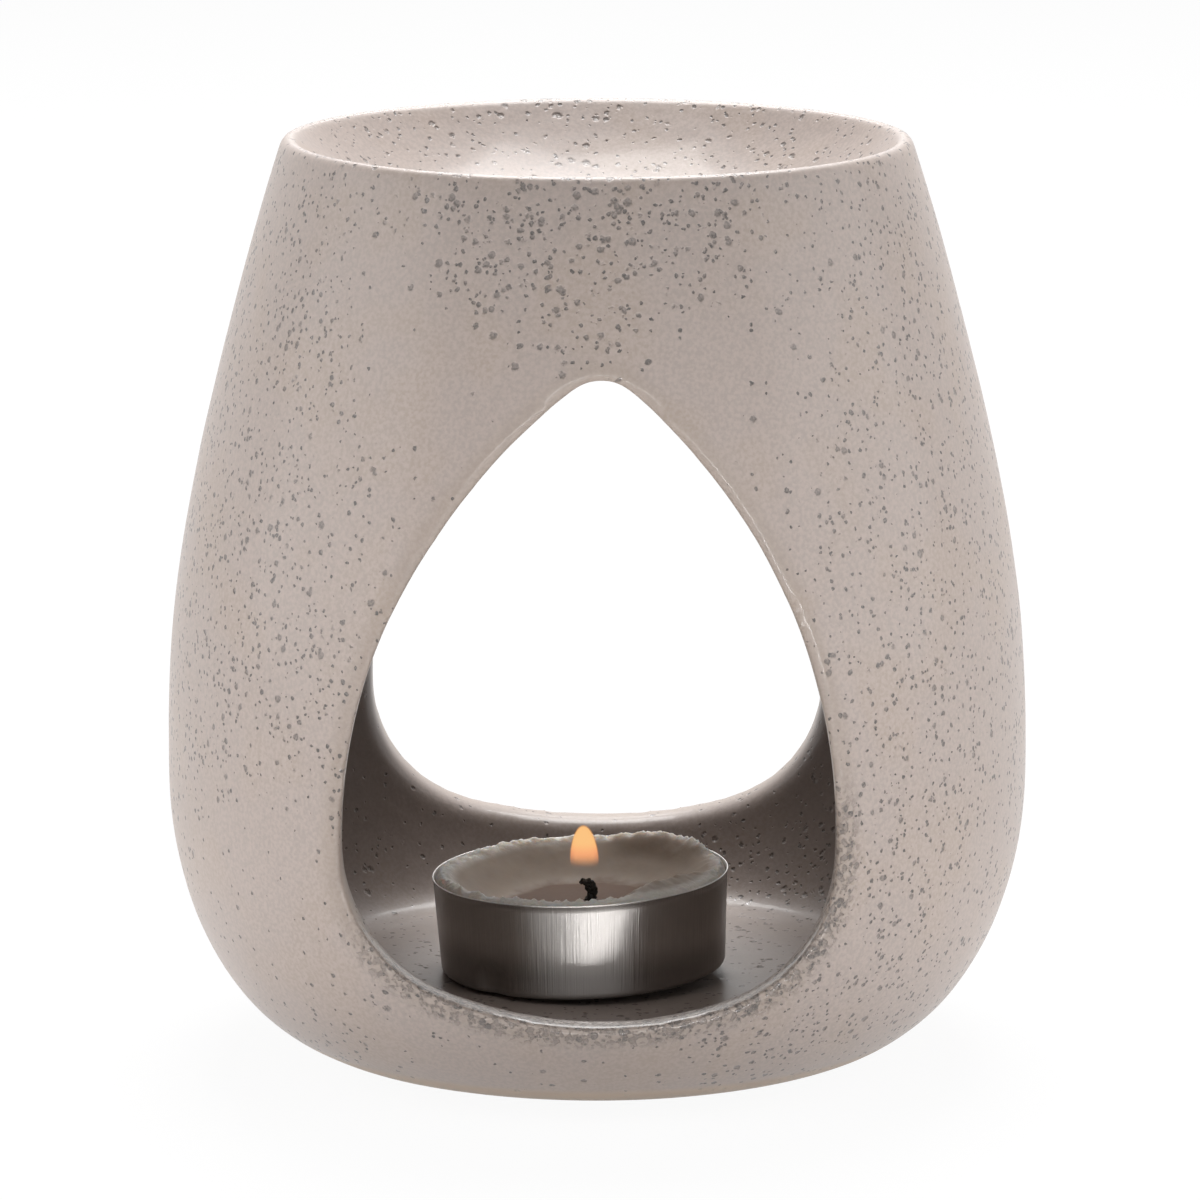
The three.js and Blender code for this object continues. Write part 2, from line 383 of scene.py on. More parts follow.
def shoulder(inset):
    """The wall from the belly to the lip, set in from the outside."""
    start = at(BELLY_RADIUS - inset, BELLY_HEIGHT)
    end = lip_outer - at(inset, 0)
    start_handle = start + at(0, BELLY_REACH)
    end_handle = end + toward(SHOULDER_LEAN - 90, SHOULDER_REACH)
    return interpolate_bezier(start, start_handle, end_handle, end, CURVE_STEPS + 1)


def dish_bowl():
    """The hollow of the dish, from its middle out to the lip."""
    edge_handle = dish_edge - toward(DISH_SLOPE, DISH_SIDE_REACH)
    middle_handle = dish_middle + at(DISH_FLAT_REACH, 0)
    return interpolate_bezier(dish_middle, middle_handle, edge_handle, dish_edge, CURVE_STEPS + 1)


outside = [
    at(0, FOOT_RECESS_DEPTH),
    at(FOOT_RECESS_RADIUS, FOOT_RECESS_DEPTH),
    at(FOOT_RECESS_RADIUS + FOOT_RECESS_DRAFT, 0),
    at(FOOT_RADIUS, 0),
    *haunch(HAUNCH_RADIUS, FOOT_RISE, BELLY_RADIUS),
    *shoulder(0)[1:],
    *arc(lip_centre, LIP_ROUND, LIP_ROUND, SHOULDER_LEAN, 90 + DISH_SLOPE, LIP_STEPS)[1:],
    *dish_bowl()[-2::-1],
]
pot = turn("speckled_pot", outside, POT_STEPS)
report(pot)

# %% Hollow inside
WALL = 0.006
DISH_WALL = 0.005
FLOOR_HEIGHT = 0.0083
FLOOR_RADIUS = 0.038

ceiling = beside(dish_bowl(), DISH_WALL)
ceiling[0].x = 0
ceiling_across = [point.x for point in ceiling]
ceiling_up = [point.z for point in ceiling]
inner_wall = haunch(FLOOR_RADIUS, FLOOR_HEIGHT, BELLY_RADIUS - WALL) + shoulder(WALL)[1:]
inner_wall = [p for p in inner_wall if p.z < np.interp(p.x, ceiling_across, ceiling_up)]
ceiling = [p for p in ceiling if p.x < inner_wall[-1].x]
hollow = turn("hollow", [at(0, FLOOR_HEIGHT), *inner_wall, *ceiling[::-1]], POT_STEPS)
report(hollow)
take_away(pot, hollow)
bpy.data.objects.remove(hollow)

# %% Arched openings, front and back
OPENING_HALF_WIDTH = 0.0305
OPENING_SIDE = 0.0015  # straight part of each side, between corner and arch
OPENING_CORNER = 0.0187
APEX_ROUND = 0.0052
SILL_RADIUS = 0.06  # of the sill's hollow, seen from the front
BAND_ABOVE_OPENING = 0.0241
FRONT_SILL_RISE = 0.0057  # above the floor
BACK_SILL_RISE = 0.0093
FRONT_LEAN = 1.7  # degrees to the right: the openings are cut by hand
LEAN_HEIGHT = 0.071  # height about which the front opening leans


def opening_outline(sill_height):
    """An arch of two large arcs that meet in a round apex, over a hollow sill with round corners."""
    corner_x = OPENING_HALF_WIDTH - OPENING_CORNER
    sill_centre = at(0, sill_height + SILL_RADIUS)
    corner_reach = SILL_RADIUS - OPENING_CORNER
    corner_angle = math.degrees(math.acos(corner_x / corner_reach))
    corner_z = sill_centre.z - corner_reach * math.sin(math.radians(corner_angle))
    spring = corner_z + OPENING_SIDE
    apex = at(0, POT_HEIGHT - BAND_ABOVE_OPENING - APEX_ROUND)
    apex_x = OPENING_HALF_WIDTH - APEX_ROUND
    rise = apex.z - spring
    reach = (rise**2 - apex_x**2) / (2 * apex_x)
    radius = OPENING_HALF_WIDTH + reach
    top = math.degrees(math.atan2(rise, reach))
    corner = OPENING_CORNER
    turn_in, turn_out = 180 + corner_angle, 360 - corner_angle
    return [
        *arc(at(-reach, spring), radius, radius, 0, top, CURVE_STEPS),
        *arc(apex, APEX_ROUND, APEX_ROUND, top, 180 - top, LIP_STEPS)[1:],
        *arc(at(reach, spring), radius, radius, 180 - top, 180, CURVE_STEPS)[1:],
        *arc(at(-corner_x, corner_z), corner, corner, 180, turn_in, LIP_STEPS),
        *arc(sill_centre, SILL_RADIUS, SILL_RADIUS, turn_in, turn_out, CURVE_STEPS)[1:],
        *arc(at(corner_x, corner_z), corner, corner, turn_out, 360, LIP_STEPS)[1:],
    ]


def cut_opening(side, sill_rise, lean):
    """Cuts one opening from the pot's axis out through the wall, and returns its outline and its cutter."""
    pivot = at(0, LEAN_HEIGHT)
    lean_over = Matrix.Rotation(math.radians(lean), 3, "Y")
    outline = [lean_over @ (p - pivot) + pivot for p in opening_outline(FLOOR_HEIGHT + sill_rise)]
    cutter = draw("opening", outline)
    bpy.ops.mesh.edge_face_add()
    way_out = Vector((0, side * (BELLY_RADIUS + WALL), 0))
    bpy.ops.mesh.extrude_region_move(TRANSFORM_OT_translate={"value": way_out})
    close_up()
    take_away(pot, cutter)
    return outline, cutter


front_outline, front_cutter = cut_opening(-1, FRONT_SILL_RISE, FRONT_LEAN)
back_outline, back_cutter = cut_opening(1, BACK_SILL_RISE, 0)
report(pot)

# %% Distances on the pot, for an even skin with sponged edges
SKIN = 0.0006  # width of the remesh's faces
KEPT_SHARE = 0.31  # of those faces, once the skin is smooth
CUT_REACH = 0.00034  # points this close to an opening's outline lie on its cut face
EDGE_REACH = 0.0035  # how far from an opening's edge the sponge rounds
BACK_REACH = 0.005  # the same at the inner edge of the back opening, which is sponged most
EDGE_STEP = 0.0004  # between the points that stand for an opening's edge
OPENING_DEPTH = 0.015  # an opening's edge lies further than this from the pot's middle plane
TRUE_REACH = 0.004  # height over which the foot and the lip stay true
STROKE = 0.5  # share of the way to its neighbours that one stroke of the sponge moves a point
BACK_STROKES = 38
EDGE_STROKES = 19
ALL_STROKES = 9
UNEVEN_GRAIN = 0.03
UNEVEN_DEPTH = 0.0005


def edge_finder(outline):
    """A search tree of points along an opening's outline."""
    closed = outline + outline[:1]
    places = []
    for here, there in zip(closed, closed[1:]):
        count = max(1, math.ceil((there - here).length / EDGE_STEP))
        places += [here.lerp(there, step / count) for step in range(count)]
    tree = KDTree(len(places))
    for index, place in enumerate(places):
        tree.insert(place, index)
    tree.balance()
    return tree


def edge_distances(piece):
    """How far each point of the pot lies from the edge of the opening on its side."""
    trees = {-1: edge_finder(front_outline), 1: edge_finder(back_outline)}
    distances = []
    for x, y, z in points_of(piece):
        in_wall = abs(y) > OPENING_DEPTH
        distances.append(trees[1 if y > 0 else -1].find(at(x, z))[2] if in_wall else POT_HEIGHT)
    return np.array(distances)


def wall_depths(piece):
    """How far each point of the pot lies inside its outer skin."""
    skin_line = haunch(HAUNCH_RADIUS, FOOT_RISE, BELLY_RADIUS) + shoulder(0)[1:]
    x, y, z = points_of(piece).T
    return np.interp(z, [p.z for p in skin_line], [p.x for p in skin_line]) - np.hypot(x, y)


def sponge(strokes, group=""):
    """Smooths the pot's skin, all over or where a vertex group says."""
    modify(pot, "SMOOTH", factor=STROKE, iterations=strokes, vertex_group=group)


# %% Remesh, sponge and thin the skin
modify(pot, "REMESH", mode="VOXEL", voxel_size=SKIN)
on_cut = edge_distances(pot) < CUT_REACH
weigh(pot, "front_cut", on_cut & (points_of(pot)[:, 1] < 0))
weigh(pot, "back_cut", on_cut & (points_of(pot)[:, 1] > 0))
for group, cutter in (("front_cut", front_cutter), ("back_cut", back_cutter)):
    modify(pot, "SHRINKWRAP", target=cutter, wrap_method="NEAREST_SURFACEPOINT", vertex_group=group)
    bpy.data.objects.remove(cutter)
weigh(pot, "opening_edges", 1 - ease(edge_distances(pot), 0.2 * EDGE_REACH, EDGE_REACH))
from_ends = np.minimum(points_of(pot)[:, 2], POT_HEIGHT - points_of(pot)[:, 2])
weigh(pot, "between_ends", ease(from_ends, 0, TRUE_REACH))
back_edge = (1 - ease(edge_distances(pot), 0.2 * BACK_REACH, BACK_REACH)) * (points_of(pot)[:, 1] > 0)
weigh(pot, "back_inner_edge", back_edge * ease(wall_depths(pot), 0.3 * WALL, 0.7 * WALL))
sponge(BACK_STROKES, "back_inner_edge")
sponge(EDGE_STROKES, "opening_edges")
sponge(ALL_STROKES)
uneven(pot, UNEVEN_GRAIN, UNEVEN_DEPTH, mid_level=0.5, vertex_group="between_ends")
modify(pot, "DECIMATE", ratio=KEPT_SHARE)
bpy.ops.object.shade_smooth()
report(pot)

# %% Marks on the pot that its glaze follows
SILL_TOP = 0.018  # height up to which the front opening's edge is a sill
SILL_FADE = 0.03
SILL_CLIMB = 0.6  # how much higher the sill's craters climb for each step to the right
RIM_REACH = 0.006  # how far from an opening's outer edge the glaze takes note of it
RIM_SLANT = 0.6  # how much a step into the wall counts as a step away from that edge
WALL_SHADE_LOW = 0.014  # height at which the painted shade begins to deepen on the inner wall
WALL_SHADE_HIGH = 0.034

edge_gap = edge_distances(pot)
pot_x, pot_y, pot_z = points_of(pot).T
pot_radius = np.hypot(pot_x, pot_y)
depth = wall_depths(pot)
below_dish = pot_z < np.interp(pot_radius, ceiling_across, ceiling_up) + DISH_WALL / 2
in_chamber = below_dish & (pot_z > FLOOR_HEIGHT / 2)
inside = ease(depth, 0.4 * WALL, WALL) * in_chamber
# Painted shade: the inner wall grows darker above the floor, standing in for the shade inside the chamber.
wall_shade = inside * ease(pot_z, WALL_SHADE_LOW, WALL_SHADE_HIGH)
rim = 1 - np.minimum(np.hypot(edge_gap, RIM_SLANT * np.maximum(depth, 0)) / RIM_REACH, 1)
sill = (pot_y < 0) * (1 - ease(pot_z - SILL_CLIMB * np.maximum(pot_x, 0), SILL_TOP, SILL_FADE))
for mark, values in {"inside": inside, "wall_shade": wall_shade, "rim": rim, "sill": sill}.items():
    paint(pot, mark, values)
    print(mark, "covers", round(100 * float(values.mean()), 1), "percent of the points")
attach(pot, "burner")
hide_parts("burner_body")

# %% [markdown]
# ## The speckled glaze
# The glaze is a warm grey satin, full of little craters where gas broke through as it melted. They lie in
# drifts: large ones in groups under the lip, fine ones close together on the flanks, and few where the glaze
# ran smooth. A noise pattern would give blots, so each crater is a cell of a Voronoi pattern, round by
# nature, and a cell holds a crater only if its random number falls under the local share. The share is read
# at the cell's own centre, so that no crater is cut in half.

# %% Drifts of craters
LIP_DRIFT = ((-0.001, 0.117), (0.027, 0.026))  # middle and reach, across and up
DENSE_DRIFT = ((0.003, 0.118), (0.019, 0.009))
DENSITY = 2  # of the dense drift, against the one round it
FOOT_DRIFT = ((0.028, 0.01), (0.022, 0.014))
SMOOTH_SPOTS = [
    ((-0.0225, 0.0965), (0.0105, 0.0125)),
    ((0.0125, 0.0955), (0.0095, 0.0085)),
    ((-0.04, 0.026), (0.018, 0.024)),
]
SMOOTHNESS = 0.85  # share of the craters that a smooth spot takes away
FLANK_START = 0.022  # distance from the middle at which the flanks' drifts begin
FLANK_FULL = 0.034
BOWL_RADIUS = 0.0388  # within which the dish and the floor lie
BOWL_FADE = 0.001
GROUP_SIZE = 0.003


def oval(finish, x, z, middle, reach):
    """A soft oval, seen from the front: 1 in its middle and 0 outside."""
    across = (x - middle[0]) / reach[0]
    up = (z - middle[1]) / reach[1]
    return finish.fade(across * across + up * up, 1.0, 0.15)


def drifts(finish, place):
    """How much of each drift reaches a place: under the lip, on the flanks, in dish and floor, anywhere."""
    x, y, z = finish.split(place)
    dish_foot = POT_HEIGHT - DISH_DEPTH
    level = finish.fade(z, dish_foot - 2 * BOWL_FADE, dish_foot - BOWL_FADE)
    level = level + finish.fade(z, FLOOR_HEIGHT + 2 * BOWL_FADE, FLOOR_HEIGHT + BOWL_FADE)
    bowl = level * finish.fade(x * x + y * y, BOWL_RADIUS**2, (BOWL_RADIUS - BOWL_FADE)**2)
    lip = (oval(finish, x, z, *LIP_DRIFT) + oval(finish, x, z, *DENSE_DRIFT) * DENSITY) * (1 - bowl)
    sides = finish.fade(abs(x), FLANK_START, FLANK_FULL)
    flank = sides.larger(oval(finish, x, z, *FOOT_DRIFT)) * (1 - bowl)
    calm = 1
    for spot in SMOOTH_SPOTS:
        calm = calm * (1 - oval(finish, x, z, *spot) * SMOOTHNESS)
    return lip * calm, flank * calm, bowl, calm


def craters(finish, place, cell, radius, grouping, shares):
    """The depth of round craters, 1 in the middle and 0 outside. The shares are those of each drift."""
    settings = {"voronoi_dimensions": "3D", "feature": "F1"}
    cells = finish.add("ShaderNodeTexVoronoi", settings, {"Vector": place, "Scale": 1 / cell})
    chance, size, _ = finish.split(Wire(finish, cells.outputs["Color"]))
    centre = Wire(finish, cells.outputs["Position"])
    share = sum(drift * part for drift, part in zip(drifts(finish, centre), shares))
    groups = finish.fade(finish.noise(centre, GROUP_SIZE, 1.0), 0.4, 0.6)
    held = share * (groups * (2 * grouping) + (1 - grouping)) > chance
    reach = (size * 0.6 + 0.4) * (radius / cell)
    hollow = 1 - finish.fade(Wire(finish, cells.outputs["Distance"]) / reach, 0.1, 1.0)
    return hollow * held


# %% Glaze
# Each kind of crater: width of a cell, radius, grouping, and its share in the drifts that drifts returns.
LARGEST_CRATERS = (0.0016, 0.00076, 1.0, (0.42, 0.1, 0.12, 0.02))
LARGE_CRATERS = (0.00135, 0.00064, 1.0, (0.45, 0.12, 0.12, 0.02))
MIDDLE_CRATERS = (0.0013, 0.00054, 0.6, (0.45, 0.45, 0.2, 0.06))
FINE_CRATERS = (0.00095, 0.0004, 0.3, (0.6, 0.6, 0.24, 0.1))
SILL_CHIPS = (0.0012, 0.0008, 0.0, (0.0, 0.0, 0.0, 0.95))
WARM_GREY = tone(0.425, 0.358, 0.326)
BLUSHED = tone(0.432, 0.353, 0.304)
PALE_GRAIN = tone(0.495, 0.414, 0.374)
THIN_GLAZE = tone(0.36, 0.29, 0.235)  # along the openings' edges
CRATER = tone(0.1, 0.088, 0.082)
# Colour of the painted shade inside the chamber.
INSIDE_SHADE = tone(0.15, 0.12, 0.105)
BARE_CLAY = tone(0.6, 0.48, 0.38)
CLAY_TOP = 0.0045  # height at which the glaze ends above the foot
CLAY_FULL = 0.003
GRAIN = 0.0005  # sizes of the glaze's patterns
CRUMB = 0.0003
WOBBLE = 0.0006
SUGAR = 0.0007
BLUSH = 0.012
RIPPLE = 0.003
GLAZE_RELIEF = 0.00021


def make_glaze():
    glaze = Finish("speckled_glaze")
    place = glaze.place()
    height = glaze.split(place)[2]
    inside, wall_shade, rim, sill = [glaze.mark(name) for name in ("inside", "wall_shade", "rim", "sill")]
    grain = glaze.noise(place, GRAIN, 2.0)
    crumbs = glaze.fade(glaze.noise(place, CRUMB, 1.0), 0.36, 0.62)
    wobble = glaze.add("ShaderNodeTexNoise", {}, {"Vector": place, "Scale": 1 / WOBBLE, "Detail": 2.0})
    shift = {"operation": "MULTIPLY_ADD"}
    sway = {0: Wire(glaze, wobble.outputs["Color"]), 1: (WOBBLE,) * 3, 2: place}
    bent = Wire(glaze, glaze.add("ShaderNodeVectorMath", shift, sway).outputs[0])
    large = craters(glaze, bent, *LARGEST_CRATERS)
    large = large.larger(craters(glaze, bent, *LARGE_CRATERS))
    middle = craters(glaze, bent, *MIDDLE_CRATERS)
    fine = craters(glaze, bent, *FINE_CRATERS)
    at_sill = glaze.fade(rim, 0.42, 0.75) * sill
    at_edge = glaze.fade(rim, 0.55, 0.75) * sill
    chipped = craters(glaze, bent, *SILL_CHIPS) * at_edge
    sugar = glaze.fade(glaze.noise(place, SUGAR, 2.0), 0.46, 0.62) * at_sill
    dark = sugar * 0.5
    for hollow, strength in ((large, 0.68), (middle, 0.9), (fine, 1.0), (chipped, 0.8)):
        dark = (glaze.fade(hollow, 0.06, 0.45) * strength).larger(dark)
    blush = glaze.noise(place, BLUSH, 2.0)
    warm = glaze.mix(glaze.fade(blush, 0.45, 0.65), WARM_GREY, BLUSHED)
    sandy = glaze.mix(glaze.fade(grain, 0.3, 0.7), warm, PALE_GRAIN)
    banded = glaze.mix(glaze.fade(rim, 0.45, 0.8) * 0.4, sandy, THIN_GLAZE)
    pitted = glaze.mix(dark * (0.65 + crumbs * 0.35), banded, CRATER)
    # Painted shade: the whole inside is darkened, and the inner wall above the floor most.
    shaded_inside = glaze.mix(wall_shade * 0.36 + inside * 0.48, pitted, INSIDE_SHADE)
    clay = glaze.fade(height, CLAY_TOP, CLAY_FULL)
    glaze.surface(Base_Color=glaze.mix(clay, shaded_inside, BARE_CLAY))
    gloss = dark * (0.35 + inside * 0.4) + at_sill * 0.3 + 0.2
    glaze.surface(Roughness=grain * 0.16 + 0.38 + clay * 0.3, Specular_IOR_Level=0.38)
    glaze.surface(Coat_Weight=gloss, Coat_Roughness=0.13)
    hollows = large.larger(middle * 0.7).larger(fine * 0.5).larger(chipped) + sugar
    ripple = glaze.noise(place, RIPPLE, 1.0)
    glaze.surface(Normal=glaze.bump(grain * 0.07 + ripple * 0.3 - hollows, GLAZE_RELIEF))
    return glaze


dress(pot, make_glaze())

# %% [markdown]
# ## The tea light's cup
# The cup is drawn from thin aluminium: a raised panel in its base, a rounded corner, a wall that opens
# slightly and a narrow hem at the edge. It is turned like the pot, upright at the origin, and set down at its
# place on the pot's floor, a little to the left and leaning to the left, where its lower corner is dented.

# %% Place of the tea light
CLEARANCE = 0.0003
TEA_LIGHT_OFFSET = 0.00175  # left of the pot's middle
TEA_LIGHT_LEAN = 2  # degrees, to the left
CUP_BASE_RADIUS = 0.0185

cup_lift = FLOOR_HEIGHT + CLEARANCE + CUP_BASE_RADIUS * math.sin(math.radians(TEA_LIGHT_LEAN))


def set_down(piece):
    """Moves a piece that was modelled upright at the origin to the tea light's place, into its mesh."""
    only(piece)
    piece.location = (-TEA_LIGHT_OFFSET, 0, cup_lift)
    piece.rotation_euler.y = -math.radians(TEA_LIGHT_LEAN)
    bpy.ops.object.transform_apply(location=True, rotation=True, scale=True)
    bpy.ops.object.shade_smooth()
    report(piece)


# %% Cup
CUP_HEIGHT = 0.0126
CUP_RIM_RADIUS = 0.01925
CUP_CORNER = 0.0009
HEM_HEIGHT = 0.0002
FOIL = 0.0001
PANEL_RADIUS = 0.0135  # of the raised middle of the base
PANEL_RISE = 0.0008
CUP_STEPS = 192
WALL_STEPS = 14
CORNER_STEPS = 6
DENT = Vector((-0.0118, -0.0142, 0.0018))
DENT_REACH = 0.0034
DENT_DEPTH = 0.001
FOIL_GRAIN = 0.006
FOIL_WAVES = 0.00008  # how uneven the thin foil is


def line(start, end, steps):
    """Points along a straight stretch."""
    return [start.lerp(end, step / steps) for step in range(steps + 1)]


def cup_corner(inset):
    """The cup's rounded lower corner, set in from the outside, going up."""
    round_in = CUP_CORNER - inset
    return arc(at(CUP_BASE_RADIUS - CUP_CORNER, CUP_CORNER), round_in, round_in, -90, 0, CORNER_STEPS)


def cup_inside(height):
    """The cup's inner radius at a height above its corner."""
    share = (height - CUP_CORNER) / (CUP_HEIGHT - CUP_CORNER)
    return CUP_BASE_RADIUS - FOIL + share * (CUP_RIM_RADIUS - FOIL - CUP_BASE_RADIUS)


def push_dent(piece):
    """Pushes in the dent at the cup's lower left corner."""
    gap = np.linalg.norm(points_of(piece) - np.array(DENT), axis=1)
    weigh(piece, "dent", 1 - ease(gap, 0.2 * DENT_REACH, DENT_REACH))
    inward = {"X": DENT.x, "Y": DENT.y}
    for direction, reach in inward.items():
        push = -DENT_DEPTH * reach / math.hypot(DENT.x, DENT.y)
        modify(piece, "DISPLACE", direction=direction, strength=push, mid_level=0, vertex_group="dent")


hem_axis = CUP_RIM_RADIUS - FOIL
hem_low = at(hem_axis, CUP_HEIGHT - HEM_HEIGHT + FOIL)
hem_top = at(hem_axis, CUP_HEIGHT - FOIL)
cup_outline = [
    at(0, PANEL_RISE),
    at(PANEL_RADIUS, PANEL_RISE),
    at(PANEL_RADIUS + PANEL_RISE, 0),
    *cup_corner(0),
    *line(cup_corner(0)[-1], at(hem_axis, CUP_HEIGHT - HEM_HEIGHT), WALL_STEPS)[1:],
    *arc(hem_low, FOIL, FOIL, -90, 0, CORNER_STEPS)[1:],
    *arc(hem_top, FOIL, FOIL, 0, 180, CORNER_STEPS),
    *line(hem_top - at(FOIL, 0), cup_corner(FOIL)[-1], WALL_STEPS)[1:],
    *cup_corner(FOIL)[-2::-1],
    at(PANEL_RADIUS + PANEL_RISE, FOIL),
    at(PANEL_RADIUS, PANEL_RISE + FOIL),
    at(0, PANEL_RISE + FOIL),
]
cup = turn("foil_cup", cup_outline, CUP_STEPS)
push_dent(cup)
uneven(cup, FOIL_GRAIN, FOIL_WAVES, mid_level=0.5)
set_down(cup)
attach(cup, "tea_light")
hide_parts("tea_light_cup")

# %% [markdown]
# ## Foil
# Drawing the cup through its die leaves fine upright streaks in the metal. They follow the wall round, so the
# pattern is laid out by the angle about the cup's axis: noise that is fine along the turn and very long up
# the wall. Towards the base the foil is painted darker, as painted shade for the shaded floor that it
# mirrors.

# %% Foil
STREAK = 0.00022
STREAK_SQUEEZE = 0.02  # how much slower the streaks change up the wall than round it
STREAK_RELIEF = 0.00004
SMUDGE = 0.004
FOIL_SHADE_TOP = 0.0075  # height at which the painted shade on the foil begins
FOIL_SHADE_FULL = 0.0025


def about_cup(finish):
    """The place of the shaded point, counted from the middle of the cup's base."""
    centre = (TEA_LIGHT_OFFSET, 0, -cup_lift)
    moved = finish.add("ShaderNodeVectorMath", {"operation": "ADD"}, {0: finish.place(), 1: centre})
    return Wire(finish, moved.outputs[0])


def make_foil():
    foil = Finish("drawn_foil")
    place = about_cup(foil)
    x, y, z = foil.split(place)
    round_wall = x.math("ARCTAN2", y, x) * CUP_RIM_RADIUS
    laid = foil.add("ShaderNodeCombineXYZ", {}, {0: round_wall, 1: z * STREAK_SQUEEZE})
    streaks = foil.noise(Wire(foil, laid.outputs[0]), STREAK, 2.0)
    smudges = foil.noise(place, SMUDGE, 2.0)
    bright = foil.mix(streaks, tone(0.6, 0.57, 0.55), tone(0.76, 0.73, 0.7))
    # Painted shade: the lower foil is darkened where it mirrors the shaded floor and sill in front of the
    # cup.
    painted_low_shade = foil.fade(z, FOIL_SHADE_TOP, FOIL_SHADE_FULL) * 0.85
    foil.surface(Base_Color=foil.mix(painted_low_shade, bright, tone(0.3, 0.285, 0.275)), Metallic=1.0)
    foil.surface(Roughness=streaks * 0.08 + smudges * 0.08 + 0.3)
    foil.surface(Anisotropic=0.85, Anisotropic_Rotation=0.25)
    foil.surface(Normal=foil.bump(streaks, STREAK_RELIEF))
    return foil


dress(cup, make_foil())

# %% [markdown]
# ## Wax
# The candle has burnt for a while: the wax is hollowed to a pool round the wick, and a ragged crust stands
# along the cup's wall where the heat didn't reach. The slug is turned first. Its crust is then torn up by
# displacing only the points that a vertex group marks, coarsely for its waves and finely for its broken edge.

# %% Wax
WAX_GAP = 0.0001  # to the cup
CREST_RADIUS = 0.0179
CREST_HEIGHT = 0.013
CRUST_FOOT = 0.0118  # height at which the crust meets the cup's wall
POOL_HEIGHT = 0.0086
POOL_RADIUS = 0.0096
SUSTAINER_RADIUS = 0.006
SUSTAINER_THICKNESS = 0.0003
NECK_RADIUS = 0.0016
NECK_HEIGHT = 0.004
SEAT = 0.00145  # height of the sustainer's underside in the cup
CRUST_HANDLE = at(-0.0002, 0.0007)  # handles of the curves over the crest and down to the pool
CREST_OUTER_HANDLE = at(0.0005, 0)
CREST_INNER_HANDLE = at(-0.0012, 0)
POOL_HANDLE = at(0.0028, 0.0002)
CREST_STEPS = 8
POOL_STEPS = 14
WAX_STEPS = 384

disc_top = SEAT + SUSTAINER_THICKNESS + CLEARANCE
neck_top = disc_top + NECK_HEIGHT
crust_foot = at(cup_inside(CRUST_FOOT) - WAX_GAP, CRUST_FOOT)
crest = at(CREST_RADIUS, CREST_HEIGHT)
pool_edge = at(POOL_RADIUS, POOL_HEIGHT)
outer_handles = crust_foot + CRUST_HANDLE, crest + CREST_OUTER_HANDLE
inner_handles = crest + CREST_INNER_HANDLE, pool_edge + POOL_HANDLE
wax_outline = [
    at(0, neck_top),
    at(NECK_RADIUS + CLEARANCE, neck_top),
    at(NECK_RADIUS + CLEARANCE, disc_top),
    at(SUSTAINER_RADIUS + CLEARANCE, disc_top),
    at(SUSTAINER_RADIUS + CLEARANCE, SEAT),
    at(PANEL_RADIUS + CLEARANCE, SEAT),
    at(PANEL_RADIUS + PANEL_RISE + CLEARANCE, FOIL + WAX_GAP),
    *cup_corner(FOIL + WAX_GAP),
    *line(cup_corner(FOIL + WAX_GAP)[-1], crust_foot, WALL_STEPS)[1:],
    *interpolate_bezier(crust_foot, *outer_handles, crest, CREST_STEPS + 1)[1:],
    *interpolate_bezier(crest, *inner_handles, pool_edge, CURVE_STEPS + 1)[1:],
    *line(pool_edge, at(0, POOL_HEIGHT), POOL_STEPS)[1:],
]
wax = turn("burnt_wax", wax_outline, WAX_STEPS)
push_dent(wax)
report(wax)

# %% Torn crust
HIGH_CRUST = Vector((0.0125, 0.0124, CREST_HEIGHT))  # where the crust stands highest, at the back right
SLUMPED_CRUST = Vector((0.0125, -0.0115, CREST_HEIGHT))  # where it leans in, at the front right
CRUST_CORE = 0.002  # distance from such a place over which the crust is wholly high or slumped
CRUST_STRETCH = 0.0105
HIGH_RISE = 0.001
SLUMP_RISE = 0.0005
SLUMP_LEAN = 0.0022  # towards the middle, across and back
EDGE_BAND = (0.0164, 0.0176)  # radii between which the broken edge, the slope and the shelf begin
SLOPE_BAND = (0.0142, 0.0172)
SHELF_BAND = (0.0105, 0.0165)
CREST_FADE = 0.0009
POOL_MARGIN = 0.0003  # height above the pool from which the wax can rise
SLOPE_WAVES = (0.005, 0.0008)  # grain and depth of the slope's waves, the edge's teeth and its flakes
EDGE_TEETH = (0.001, 0.0009)
EDGE_FLAKES = (0.0012, 0.0006)

wax_points = points_of(wax)
wax_radius = np.hypot(wax_points[:, 0], wax_points[:, 1])
on_top = wax_points[:, 2] > POOL_HEIGHT + POOL_MARGIN
within_crest = 1 - ease(wax_radius, CREST_RADIUS, CREST_RADIUS + CREST_FADE)
edge, slope, shelf = [
    ease(wax_radius, *band) * within_crest * on_top for band in (EDGE_BAND, SLOPE_BAND, SHELF_BAND)
]


def near(place):
    """How close each point of the wax is to a place on the crust, from 1 to 0."""
    return 1 - ease(np.linalg.norm(wax_points - np.array(place), axis=1), CRUST_CORE, CRUST_STRETCH)


def shift_wax(group, direction, distance):
    """Moves a part of the wax along one axis."""
    modify(wax, "DISPLACE", direction=direction, strength=distance, mid_level=0, vertex_group=group)


weigh(wax, "edge", edge)
weigh(wax, "slope", slope)
weigh(wax, "high", slope * near(HIGH_CRUST))
weigh(wax, "slumped", shelf * near(SLUMPED_CRUST))
shift_wax("high", "Z", HIGH_RISE)
shift_wax("slumped", "Z", SLUMP_RISE)
shift_wax("slumped", "X", -SLUMP_LEAN)
shift_wax("slumped", "Y", SLUMP_LEAN)
uneven(wax, *SLOPE_WAVES, direction="Z", mid_level=0.5, vertex_group="slope")
uneven(wax, *EDGE_TEETH, direction="Z", mid_level=0.5, vertex_group="edge")
uneven(wax, *EDGE_FLAKES, direction="RGB_TO_XYZ", mid_level=0.5, vertex_group="edge")
set_down(wax)
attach(wax, "candle")
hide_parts("candle_wax")

